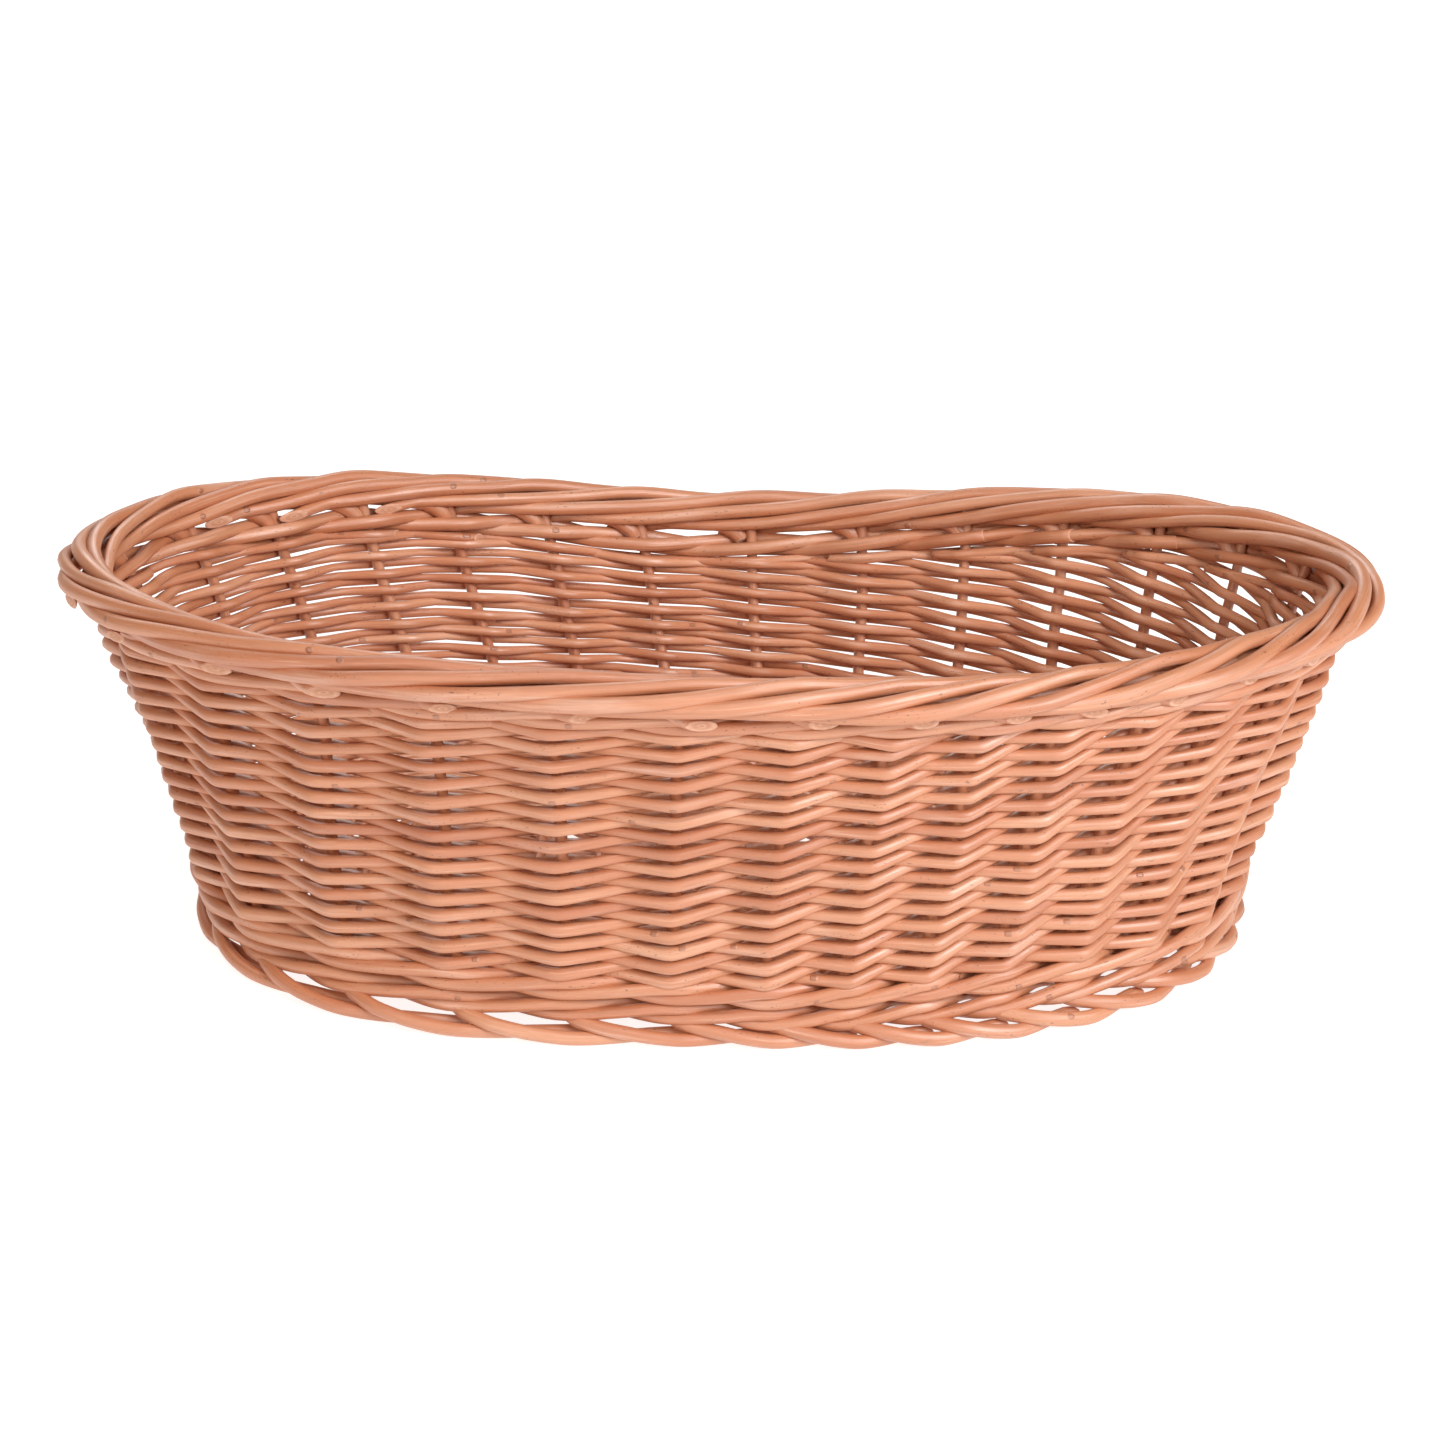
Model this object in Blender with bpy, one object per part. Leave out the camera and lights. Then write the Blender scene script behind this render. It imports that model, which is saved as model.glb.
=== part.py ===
"""Oval willow pet bed basket: foot border, stick base, stakes, waling, siding and rolled border.

Metres, +Z up.  The origin is on the floor under the middle of the oval, +X runs along the length,
and the low entrance side faces +Y.  The wall leans outward between a foot oval and a rim oval.
"""
import math

import bmesh
import bpy
import numpy as np
from mathutils import Vector

# Driving dimensions
FOOT_HALF_LENGTH = 0.2260
FOOT_HALF_WIDTH = 0.1365
FOOT_ROUNDNESS = 2.40
RIM_HALF_LENGTH = 0.2800
RIM_HALF_WIDTH = 0.1731
RIM_ROUNDNESS = 1.90
RIM_HEIGHT = 0.1575
RIM_LEFT_RISE = 0.0029
RIM_BACK_RISE = 0.0296
RIM_END_RISE = 0.0063
RIM_ENTRANCE_TUCK = 0.0015

STAKE_COUNT = 30
FIRST_STAKE_SHARE = 0.484
STAKE_CROWDING = (0.12, 0.474, 0.278, 0.782)
STAKE_LEAN = math.radians(3.5)
STAKE_DIAMETER = 0.0050
WEAVER_DIAMETER = 0.0040
STICK_DIAMETER = 0.0070
FOOT_ROD_DIAMETER = 0.0065

FOOT_RING_WIDTH = 0.0140
FOOT_RING_HEIGHT = 0.0070
FOOT_PROFILE = ((0.12, 0.0), (0.0, 0.4), (0.12, 0.9), (0.4, 1.0), (0.8, 1.0), (1.0, 0.5), (0.88, 0.0))
WALE_BOTTOM = 0.0110
WALE_HEIGHT = 0.0200
TOP_WALE_HEIGHT = 0.0090
BORDER_WIDTH = 0.0245
BORDER_HEIGHT = 0.0160
BORDER_SOCKET_DEPTH = 0.0080
BORDER_PROFILE = (
    (0.0, 0.6), (0.06, 0.25), (0.25, 0.0), (0.6, 0.0), (0.92, 0.25), (1.0, 0.6), (0.9, 1.0), (0.12, 1.0),
)

BASE_BOTTOM = 0.0115
BASE_TOP = 0.0285
BASE_STICK_HEIGHT = 0.0178
LONG_STICK_COUNT = 4
CROSS_STICK_COUNT = 9
CROSS_STICK_SPACING = 0.0260
CROSS_STICK_FAN = 0.0450
LONG_STICK_SPACING = 0.0076
LONG_STICK_FAN = 0.0360
LONG_STICK_FAN_START = 0.1120
SLATH_HALF_LENGTH = 0.1220
SLATH_HALF_WIDTH = 0.0255
SLATH_ROUNDNESS = 8.0
SPLIT_HALF_LENGTH = 0.0152
EYE_HALF_LENGTH = 0.0215
EYE_HALF_HEIGHT = 0.0060
STAKE_TAIL_LENGTH = 0.0300

CLEARANCE = 0.0003
CHANNEL_OVERRUN = 0.006
RING_SEGMENTS = 60
ANGLE_STEPS = 1441
ROD_SIDES = 8

WALL_HALF_THICKNESS = STAKE_DIAMETER / 2 + WEAVER_DIAMETER
FOOT_TO_STAKE = 0.0107
RIM_TO_STAKE = 0.0175
STAKE_TAIL_HEIGHT = BASE_STICK_HEIGHT + (STICK_DIAMETER + STAKE_DIAMETER) / 2 + CLEARANCE

BUFF_WILLOW = (0.58, 0.25, 0.14)
PALE_WILLOW = (0.68, 0.34, 0.21)
DARK_WILLOW = (0.45, 0.18, 0.09)


def clear_scene():
    for item in list(bpy.data.objects):
        bpy.data.objects.remove(item, do_unlink=True)


def willow_material(name, colour):
    material = bpy.data.materials.new(name)
    material.use_nodes = True
    shader = material.node_tree.nodes["Principled BSDF"]
    shader.inputs["Base Color"].default_value = (*colour, 1.0)
    shader.inputs["Roughness"].default_value = 0.5
    shader.inputs["Metallic"].default_value = 0.0
    return material


def oval_point(half_length, half_width, roundness, angle):
    """Point at a polar angle on a superellipse."""
    across = math.cos(angle)
    along = math.sin(angle)
    spread = abs(across / half_length) ** roundness + abs(along / half_width) ** roundness
    reach = spread ** (-1 / roundness)
    return Vector((reach * across, reach * along))


def rim_height(angle):
    """Height of the border's top: high along the back wall, low along the entrance side."""
    height = RIM_HEIGHT
    height -= RIM_LEFT_RISE * math.cos(angle)
    height -= RIM_BACK_RISE * math.sin(angle)
    height += RIM_END_RISE * math.cos(2 * angle)
    height += RIM_ENTRANCE_TUCK * math.sin(3 * angle)
    return height


def wall_point(angle, height, offset=0.0):
    """Point on the leaning wall, measured outward from the surface that the stake axes lie on."""
    foot_inset = FOOT_TO_STAKE - offset
    rim_inset = RIM_TO_STAKE - offset
    low = oval_point(FOOT_HALF_LENGTH - foot_inset, FOOT_HALF_WIDTH - foot_inset, FOOT_ROUNDNESS, angle)
    high = oval_point(RIM_HALF_LENGTH - rim_inset, RIM_HALF_WIDTH - rim_inset, RIM_ROUNDNESS, angle)
    share = (height - WALE_BOTTOM) / (rim_height(angle) - BORDER_HEIGHT - WALE_BOTTOM)
    spot = low.lerp(high, share)
    return Vector((spot.x, spot.y, height))


def stake_angles():
    """Polar angles of the stakes' tops, closer together around the two ends of the oval."""
    turn = np.linspace(-math.pi, math.pi, ANGLE_STEPS)
    ends, sides, quarters, corners = STAKE_CROWDING
    count = STAKE_COUNT * turn / (2 * math.pi) + FIRST_STAKE_SHARE
    count = count + ends * np.cos(turn) + sides * np.sin(turn)
    count = count + quarters * np.cos(2 * turn) + corners * np.sin(2 * turn)
    first = math.ceil(count[0])
    return [float(np.interp(first + index, count, turn)) for index in range(STAKE_COUNT)]


def new_object(name, mesh_data, material):
    mesh = bpy.data.meshes.new(name)
    mesh_data.to_mesh(mesh)
    mesh_data.free()
    mesh.shade_smooth()
    mesh.set_sharp_from_angle(angle=math.radians(40))
    mesh.materials.append(material)
    item = bpy.data.objects.new(name, mesh)
    bpy.context.scene.collection.objects.link(item)
    return item


def add_tube(mesh_data, path, half_widths, half_heights=None, sides=ROD_SIDES):
    """Add a closed rod along a path, with its own half width and half height at each point."""
    half_heights = half_heights or half_widths
    loops = []
    for index, point in enumerate(path):
        before = path[max(index - 1, 0)]
        after = path[min(index + 1, len(path) - 1)]
        forward = (after - before).normalized()
        sideways = forward.cross(Vector((0, 0, 1)))
        if sideways.length < 0.5:
            sideways = Vector((point.y, -point.x, 0))
        sideways.normalize()
        upward = sideways.cross(forward).normalized()
        loop = []
        for side in range(sides):
            turn = 2 * math.pi * (side + 0.5) / sides
            shift = sideways * math.cos(turn) * half_widths[index]
            shift = shift + upward * math.sin(turn) * half_heights[index]
            loop.append(mesh_data.verts.new(point + shift))
        loops.append(loop)
    for near, far in zip(loops, loops[1:]):
        for side in range(sides):
            following = (side + 1) % sides
            mesh_data.faces.new((near[side], near[following], far[following], far[side]))
    mesh_data.faces.new(loops[0][::-1])
    mesh_data.faces.new(loops[-1])


def rod_mesh(paths, radius, sides=ROD_SIDES):
    mesh_data = bmesh.new()
    for path in paths:
        add_tube(mesh_data, path, [radius] * len(path), sides=sides)
    bmesh.ops.recalc_face_normals(mesh_data, faces=mesh_data.faces)
    return mesh_data


def ring_mesh(section):
    """Closed ring whose section corners come from a function of the polar angle."""
    mesh_data = bmesh.new()
    loops = []
    for index in range(RING_SEGMENTS):
        angle = 2 * math.pi * index / RING_SEGMENTS
        loops.append([mesh_data.verts.new(corner) for corner in section(angle)])
    corners = len(loops[0])
    for index, near in enumerate(loops):
        far = loops[(index + 1) % RING_SEGMENTS]
        for corner in range(corners):
            following = (corner + 1) % corners
            mesh_data.faces.new((near[corner], near[following], far[following], far[corner]))
    bmesh.ops.recalc_face_normals(mesh_data, faces=mesh_data.faces)
    return mesh_data


def cut_away(item, name, mesh_data):
    """Cut a tool mesh out of an object and keep the tool as a hidden guide."""
    tool = new_object(name, mesh_data, item.data.materials[0])
    tool.hide_render = True
    tool.display_type = "WIRE"
    cut = item.modifiers.new(name, "BOOLEAN")
    cut.operation = "DIFFERENCE"
    cut.solver = "EXACT"
    cut.object = tool


def stake_path(angle, top_height, tail_length):
    """A stake's tail lies in the base, then it turns up and leans a little round the wall."""
    bend = STAKE_DIAMETER
    foot_angle = angle - STAKE_LEAN
    corner = wall_point(foot_angle, STAKE_TAIL_HEIGHT)
    inward = Vector((-math.cos(foot_angle), -math.sin(foot_angle), 0))
    upward = (wall_point(angle, top_height) - corner).normalized()
    path = [corner + inward * tail_length, corner + inward * bend]
    path.append(corner + (inward + upward) * bend * 0.3)
    path.append(corner + upward * bend)
    path.append(wall_point(angle, top_height))
    return path


def stake_top(angle):
    return rim_height(angle) - BORDER_HEIGHT + BORDER_SOCKET_DEPTH


def make_stakes(material):
    for number, angle in enumerate(stake_angles(), start=1):
        path = stake_path(angle, stake_top(angle) - CLEARANCE, STAKE_TAIL_LENGTH)
        new_object(f"stake_{number:02d}", rod_mesh([path], STAKE_DIAMETER / 2), material)


def stake_channels():
    """Cutting rods a little thicker and longer than the stakes."""
    paths = []
    for angle in stake_angles():
        paths.append(stake_path(angle, stake_top(angle), STAKE_TAIL_LENGTH + CLEARANCE))
    return rod_mesh(paths, STAKE_DIAMETER / 2 + 2 * CLEARANCE, sides=6)


def wall_band(name, low_edge, high_edge, material):
    """A woven band of the wall between two heights, with a channel for every stake."""
    def section(angle):
        corners = []
        for height, offset in (
            (low_edge(angle), WALL_HALF_THICKNESS),
            (high_edge(angle), WALL_HALF_THICKNESS),
            (high_edge(angle), -WALL_HALF_THICKNESS),
            (low_edge(angle), -WALL_HALF_THICKNESS),
        ):
            corners.append(wall_point(angle, height, offset))
        return corners

    band = new_object(name, ring_mesh(section), material)
    cut_away(band, f"{name}_stake_channels", stake_channels())


def upsett_top(angle):
    return WALE_BOTTOM + WALE_HEIGHT


def siding_top(angle):
    return rim_height(angle) - BORDER_HEIGHT - TOP_WALE_HEIGHT


def make_wall(siding_material, wale_material):
    wall_band("upsett_wale", lambda angle: WALE_BOTTOM, upsett_top, wale_material)
    wall_band("siding_weave", lambda angle: upsett_top(angle) + CLEARANCE, siding_top, siding_material)
    wall_band(
        "top_wale",
        lambda angle: siding_top(angle) + CLEARANCE,
        lambda angle: siding_top(angle) + TOP_WALE_HEIGHT - CLEARANCE,
        wale_material,
    )


def border_section(angle):
    """Rounded section of the rolled border, from its outer edge over the top to its inner edge."""
    outer = oval_point(RIM_HALF_LENGTH, RIM_HALF_WIDTH, RIM_ROUNDNESS, angle)
    inner = oval_point(
        RIM_HALF_LENGTH - BORDER_WIDTH, RIM_HALF_WIDTH - BORDER_WIDTH, RIM_ROUNDNESS, angle
    )
    top = rim_height(angle)
    corners = []
    for share, drop in BORDER_PROFILE:
        spot = outer.lerp(inner, share)
        corners.append(Vector((spot.x, spot.y, top - BORDER_HEIGHT * drop)))
    return corners


def make_border(material):
    border = new_object("rolled_border", ring_mesh(border_section), material)
    cut_away(border, "border_sockets", stake_channels())


def foot_section(angle):
    """Section of the foot ring: flat underneath, rounded on top."""
    outer = oval_point(FOOT_HALF_LENGTH, FOOT_HALF_WIDTH, FOOT_ROUNDNESS, angle)
    inner = oval_point(
        FOOT_HALF_LENGTH - FOOT_RING_WIDTH, FOOT_HALF_WIDTH - FOOT_RING_WIDTH, FOOT_ROUNDNESS, angle
    )
    corners = []
    for share, rise in FOOT_PROFILE:
        spot = outer.lerp(inner, share)
        corners.append(Vector((spot.x, spot.y, FOOT_RING_HEIGHT * rise)))
    return corners


def foot_posts():
    """The ends of the foot rods, which rise from the ring to the waling beside each stake."""
    paths = []
    for angle in stake_angles():
        high = wall_point(angle - STAKE_LEAN, WALE_BOTTOM - CLEARANCE)
        low = Vector((high.x, high.y, FOOT_RING_HEIGHT / 2))
        paths.append([low, high])
    return rod_mesh(paths, FOOT_ROD_DIAMETER / 2)


def make_foot_border(material):
    foot = new_object("foot_border", ring_mesh(foot_section), material)
    posts = new_object("foot_rod_ends", foot_posts(), material)
    posts.hide_render = True
    posts.display_type = "WIRE"
    joined = foot.modifiers.new("foot_rod_ends", "BOOLEAN")
    joined.operation = "UNION"
    joined.solver = "EXACT"
    joined.object = posts


def lengthened(path, extra):
    """The same path with both ends carried straight on."""
    first = path[0] + (path[0] - path[1]).normalized() * extra
    last = path[-1] + (path[-1] - path[-2]).normalized() * extra
    return [first, *path, last]


def long_stick_path(index):
    """Long base sticks lie side by side through the middle and fan out at both ends."""
    place = index - (LONG_STICK_COUNT - 1) / 2
    middle = place * LONG_STICK_SPACING
    outside = place * LONG_STICK_FAN
    edge_inset = FOOT_TO_STAKE + WALL_HALF_THICKNESS + 4 * CLEARANCE
    half_length = FOOT_HALF_LENGTH - edge_inset
    half_width = FOOT_HALF_WIDTH - edge_inset
    end = half_length * (1 - abs(outside / half_width) ** FOOT_ROUNDNESS) ** (1 / FOOT_ROUNDNESS)
    half_path = []
    for share in (0.0, 0.25, 0.5, 0.75, 1.0):
        along = LONG_STICK_FAN_START + (end - LONG_STICK_FAN_START) * share
        ease = share * share * (3 - 2 * share)
        half_path.append(Vector((along, middle + (outside - middle) * ease, BASE_STICK_HEIGHT)))
    mirrored = [Vector((-point.x, point.y, point.z)) for point in reversed(half_path)]
    return mirrored + half_path


def cross_stick_places():
    first = -(CROSS_STICK_COUNT - 1) / 2
    return [(first + index) * CROSS_STICK_SPACING for index in range(CROSS_STICK_COUNT)]


def cross_stick_arm(place):
    """Half of a cross stick, from beside its split to the wall; the outer sticks fan outward."""
    edge_inset = FOOT_TO_STAKE + WALL_HALF_THICKNESS + 4 * CLEARANCE
    half_length = FOOT_HALF_LENGTH - edge_inset
    half_width = FOOT_HALF_WIDTH - edge_inset
    outermost = CROSS_STICK_SPACING * (CROSS_STICK_COUNT - 1) / 2
    outside = place + CROSS_STICK_FAN * (place / outermost) ** 3
    end = half_width * (1 - abs(outside / half_length) ** FOOT_ROUNDNESS) ** (1 / FOOT_ROUNDNESS)
    arm = []
    for share in (0.0, 0.25, 0.5, 0.75, 1.0):
        across = EYE_HALF_LENGTH + (end - EYE_HALF_LENGTH) * share
        ease = share * share * (2 - share)
        arm.append(Vector((place + (outside - place) * ease, across, BASE_STICK_HEIGHT)))
    return arm


def cross_stick_path(place):
    arm = cross_stick_arm(place)
    mirrored = [Vector((point.x, -point.y, point.z)) for point in reversed(arm)]
    return mirrored + arm


def cross_stick_mesh(place):
    """A short stick, swollen in the middle where it is split to let the long sticks through."""
    radius = STICK_DIAMETER / 2
    path = cross_stick_path(place)
    half = len(path) // 2
    eye = [Vector((place, side * SPLIT_HALF_LENGTH, BASE_STICK_HEIGHT)) for side in (-1, 1)]
    path = path[:half] + eye + path[half:]
    heights = [radius] * half + [EYE_HALF_HEIGHT] * 2 + [radius] * half
    mesh_data = bmesh.new()
    add_tube(mesh_data, path, [radius] * len(path), heights)
    bmesh.ops.recalc_face_normals(mesh_data, faces=mesh_data.faces)
    return mesh_data


def slot_mesh(place):
    """The split in a cross stick: as wide as the long sticks side by side."""
    mesh_data = bmesh.new()
    bmesh.ops.create_cube(mesh_data, size=1.0)
    size = Vector((STICK_DIAMETER * 2, 2 * SPLIT_HALF_LENGTH, STICK_DIAMETER + 2 * CLEARANCE))
    bmesh.ops.scale(mesh_data, vec=size, verts=mesh_data.verts)
    bmesh.ops.translate(mesh_data, vec=Vector((place, 0, BASE_STICK_HEIGHT)), verts=mesh_data.verts)
    return mesh_data


def make_base_sticks(material):
    for index in range(LONG_STICK_COUNT):
        path = long_stick_path(index)
        new_object(f"base_long_stick_{index + 1}", rod_mesh([path], STICK_DIAMETER / 2), material)
    for index, place in enumerate(cross_stick_places(), start=1):
        stick = new_object(f"base_cross_stick_{index}", cross_stick_mesh(place), material)
        cut_away(stick, f"cross_stick_split_{index}", slot_mesh(place))


def base_section(angle):
    """The base weave runs from around the bundled long sticks out to the foot of the wall."""
    inset = FOOT_TO_STAKE + WALL_HALF_THICKNESS + CLEARANCE
    outer = oval_point(FOOT_HALF_LENGTH - inset, FOOT_HALF_WIDTH - inset, FOOT_ROUNDNESS, angle)
    inner = oval_point(SLATH_HALF_LENGTH, SLATH_HALF_WIDTH, SLATH_ROUNDNESS, angle)
    corners = []
    for spot, height in ((outer, BASE_BOTTOM), (outer, BASE_TOP), (inner, BASE_TOP), (inner, BASE_BOTTOM)):
        corners.append(Vector((spot.x, spot.y, height)))
    return corners


def make_base_weave(material):
    weave = new_object("base_weave", ring_mesh(base_section), material)
    channel_radius = STICK_DIAMETER / 2 + CLEARANCE
    long_paths = [lengthened(long_stick_path(index), CHANNEL_OVERRUN) for index in range(LONG_STICK_COUNT)]
    cut_away(weave, "long_stick_channels", rod_mesh(long_paths, channel_radius))
    cross_paths = [lengthened(cross_stick_path(place), CHANNEL_OVERRUN) for place in cross_stick_places()]
    cut_away(weave, "cross_stick_channels", rod_mesh(cross_paths, channel_radius))
    cut_away(weave, "stake_tail_channels", stake_channels())


def main():
    clear_scene()
    buff = willow_material("buff_willow", BUFF_WILLOW)
    pale = willow_material("pale_willow", PALE_WILLOW)
    dark = willow_material("stake_willow", DARK_WILLOW)
    make_foot_border(pale)
    make_base_sticks(dark)
    make_base_weave(buff)
    make_stakes(dark)
    make_wall(buff, pale)
    make_border(pale)


main()
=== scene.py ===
"""Looks of the oval willow pet bed basket: every woven rod as its own piece round the CAD frame.

Metres, +Z up.  The low entrance side faces +Y and the high side faces the camera at -Y.
A place on the wall is given by a stake count, a distance up the wall and an offset outward.
"""

import math

import bpy
import numpy as np
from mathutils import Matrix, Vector


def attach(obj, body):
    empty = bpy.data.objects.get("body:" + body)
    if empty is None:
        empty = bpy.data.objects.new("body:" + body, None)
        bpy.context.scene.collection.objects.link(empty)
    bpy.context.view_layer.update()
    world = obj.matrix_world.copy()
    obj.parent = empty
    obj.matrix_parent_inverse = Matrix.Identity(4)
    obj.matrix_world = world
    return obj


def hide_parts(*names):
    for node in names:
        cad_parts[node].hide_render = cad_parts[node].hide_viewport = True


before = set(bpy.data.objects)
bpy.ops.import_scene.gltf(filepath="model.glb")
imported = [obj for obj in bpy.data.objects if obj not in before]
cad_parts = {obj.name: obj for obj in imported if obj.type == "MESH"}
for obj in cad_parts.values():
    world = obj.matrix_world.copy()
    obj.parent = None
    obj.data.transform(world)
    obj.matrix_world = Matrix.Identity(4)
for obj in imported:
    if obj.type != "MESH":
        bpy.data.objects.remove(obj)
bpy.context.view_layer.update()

# Dimensions of the CAD frame
FOOT_HALF_LENGTH = 0.2260
FOOT_HALF_WIDTH = 0.1365
FOOT_ROUNDNESS = 2.40
RIM_HALF_LENGTH = 0.2800
RIM_HALF_WIDTH = 0.1731
RIM_ROUNDNESS = 1.90
RIM_HEIGHT = 0.1575
RIM_LEFT_RISE = 0.0029
RIM_BACK_RISE = 0.0296
RIM_END_RISE = 0.0063
RIM_ENTRANCE_TUCK = 0.0015
STAKE_COUNT = 30
FIRST_STAKE_SHARE = 0.484
STAKE_CROWDING = (0.12, 0.474, 0.278, 0.782)
STAKE_LEAN = math.radians(3.5)
FOOT_TO_STAKE = 0.0107
RIM_TO_STAKE = 0.0175
WALE_BOTTOM = 0.0110
WALE_HEIGHT = 0.0200
TOP_WALE_HEIGHT = 0.0090
BORDER_HEIGHT = 0.0160
BASE_STICK_HEIGHT = 0.0178
LONG_STICK_COUNT = 4
CROSS_STICK_COUNT = 9
CROSS_STICK_SPACING = 0.0260
CROSS_STICK_FAN = 0.0450
LONG_STICK_SPACING = 0.0076
LONG_STICK_FAN = 0.0360
LONG_STICK_FAN_START = 0.1120
SLATH_ROUNDNESS = 8.0

# Rods
STAKE_RADIUS = 0.0025
STAKE_START = 0.0125
STAKE_INTO_BORDER = 0.007
STAKE_TAIL = 0.030
STAKE_TAIL_END = 0.006
STAKE_BEND = ((0.0028, 0.0006), (0.0006, 0.0030))
WEAVER_RADIUS = 0.0028
WEAVER_NARROWING = 0.0005
WEAVER_TAPER = 0.12
LOW_SIDE_NARROWING = 0.22
RIGHT_END_SHARE = 0.6
WALE_RADIUS = 0.0028
TOP_WALE_RADIUS = 0.0028
STICK_RADIUS = 0.0035
BASE_WEAVER_RADIUS = 0.0016
FOOT_RADIUS = 0.00325
BORDER_RADII = (0.0038, 0.0026)

ROW_PITCH = 0.0082
WALE_PITCH = 0.0114
WALE_LIFT = -0.0018
TOP_WALE_PITCH = 0.0090
KINK = 0.992
KINK_SAG = 0.0006
ROW_SQUEEZE = 0.0041
GAP_STEPS = 12
SIDES = 10
KINK_STEPS = (0.0, 0.04, 0.09, 0.18, 0.34, 0.5, 0.66, 0.82, 0.91, 0.96)
DIP_COUNT = 21.3
DIP_WIDTH = 2.6
DIP_SQUEEZE = 0.12
LAST_PASS = 44
WEAVER_START_REACH = (1.15, 1.35)
WEAVER_END_REACH = (1.12, 1.35)
WALE_START = 19
WALE_LAP_SHIFT = 5

# Unevenness of hand weaving: size, waves round the basket, turn for each metre up and phase
SWAY = ((0.0007, 5, 60, 0.0), (0.0004, 9, -110, 1.0))
SAG = ((0.0010, 5, 45, 2.0), (0.0004, 11, 90, 0.0))

# Rolled border: how far each rod travels, in gaps between stakes
BORDER_START = 0.05
BORDER_CENTRE = 0.00525
BORDER_RADIAL = 0.0091
BORDER_RISE = 0.0049
BORDER_OUT = 1.15
BORDER_IN = 6.4
BORDER_END = 7.18
BORDER_START_TURN = math.radians(-75)
BORDER_END_TURN = math.radians(222)
BORDER_DROP = 0.0009
BORDER_CREST = 4.0
BORDER_CREST_LIFT = 0.0017
BORDER_SHOULDER = 2.4
BORDER_SHOULDER_OUT = 0.0009
BORDER_SWAY = (0.0011, 0.0009)
LOOSE_END_COUNT = 14.3
CUT_INSIDE = (19, 20, 21)
CUT_PROUD = (22, 23, 24)


def oval(half_length, half_width, roundness, angle):
    """Points of a superellipse at polar angles."""
    across, along = np.cos(angle), np.sin(angle)
    spread = np.abs(across / half_length) ** roundness + np.abs(along / half_width) ** roundness
    reach = spread ** (-1 / roundness)
    return reach * across, reach * along


def foot_line(outward, angle):
    """Points offset outward from the line of the stakes at the foot."""
    half_length = FOOT_HALF_LENGTH - FOOT_TO_STAKE + outward
    half_width = FOOT_HALF_WIDTH - FOOT_TO_STAKE + outward
    return oval(half_length, half_width, FOOT_ROUNDNESS, angle)


def rim_line(outward, angle):
    """Points offset outward from the line of the stakes at the rim."""
    half_length = RIM_HALF_LENGTH - RIM_TO_STAKE + outward
    half_width = RIM_HALF_WIDTH - RIM_TO_STAKE + outward
    return oval(half_length, half_width, RIM_ROUNDNESS, angle)


def rim_height(angle):
    """Height of the top of the rim, which dips at the entrance."""
    height = RIM_HEIGHT - RIM_LEFT_RISE * np.cos(angle) - RIM_BACK_RISE * np.sin(angle)
    return height + RIM_END_RISE * np.cos(2 * angle) + RIM_ENTRANCE_TUCK * np.sin(3 * angle)


def stake_counts(turn):
    """Continuous stake count at a polar angle; the stakes crowd together along the sides."""
    ends, sides, quarters, corners = STAKE_CROWDING
    count = STAKE_COUNT * turn / (2 * math.pi) + FIRST_STAKE_SHARE
    count = count + ends * np.cos(turn) + sides * np.sin(turn)
    return count + quarters * np.cos(2 * turn) + corners * np.sin(2 * turn)


TURNS = np.linspace(-math.pi, math.pi, 1441)
COUNTS = stake_counts(TURNS)
COUNTS = COUNTS - math.ceil(COUNTS[0])


def stake_angle(count):
    """Polar angle of the wall's top at a continuous stake count; stake_01 is at count 0."""
    laps = np.floor((count - COUNTS[0]) / STAKE_COUNT)
    return np.interp(count - STAKE_COUNT * laps, COUNTS, TURNS)


def wall_by_share(count, share, outward):
    """Points of the wall: share 0 is the bottom of the waling and 1 the underside of the border."""
    angle = stake_angle(count) - STAKE_LEAN * (1 - share)
    low_x, low_y = foot_line(outward, angle)
    high_x, high_y = rim_line(outward, angle)
    height = WALE_BOTTOM + (rim_height(angle) - BORDER_HEIGHT - WALE_BOTTOM) * share
    return np.stack([low_x + (high_x - low_x) * share, low_y + (high_y - low_y) * share, height], axis=-1)


LENGTH_COUNTS = np.linspace(0, STAKE_COUNT, 601)
LENGTHS = np.linalg.norm(
    wall_by_share(LENGTH_COUNTS, np.ones(601), np.zeros(601))
    - wall_by_share(LENGTH_COUNTS, np.zeros(601), np.zeros(601)),
    axis=1,
)
RISES = rim_height(stake_angle(LENGTH_COUNTS)) - BORDER_HEIGHT - WALE_BOTTOM


def wall_length(count):
    """Distance up the wall from the waling's bottom to the border's underside."""
    return np.interp(np.mod(count, STAKE_COUNT), LENGTH_COUNTS, LENGTHS)


def wall_rise(count):
    """Height of the wall from the waling's bottom to the border's underside."""
    return np.interp(np.mod(count, STAKE_COUNT), LENGTH_COUNTS, RISES)


def siding_bottom(count):
    """Distance up the wall to the top of the upsett waling."""
    return WALE_HEIGHT * wall_length(count) / wall_rise(count)


def siding_top(count):
    """Distance up the wall to the bottom of the top wale."""
    return wall_length(count) * (1 - TOP_WALE_HEIGHT / wall_rise(count))


def waves(table, turn, up):
    """Sum of the sine waves of a table."""
    return sum(size * np.sin(round_it * turn + climb * up + phase) for size, round_it, climb, phase in table)


def wall(count, up, outward):
    """Points of the wall from a distance up it, with the gentle unevenness of hand weaving."""
    turn = 2 * math.pi * count / STAKE_COUNT
    length, rise = wall_length(count), wall_rise(count)
    outward = outward + waves(SWAY, turn, up)
    down = outward * np.sqrt(length ** 2 - rise ** 2) / rise
    return wall_by_share(count, (up + waves(SAG, turn, up) - down) / length, outward * length / rise)


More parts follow.
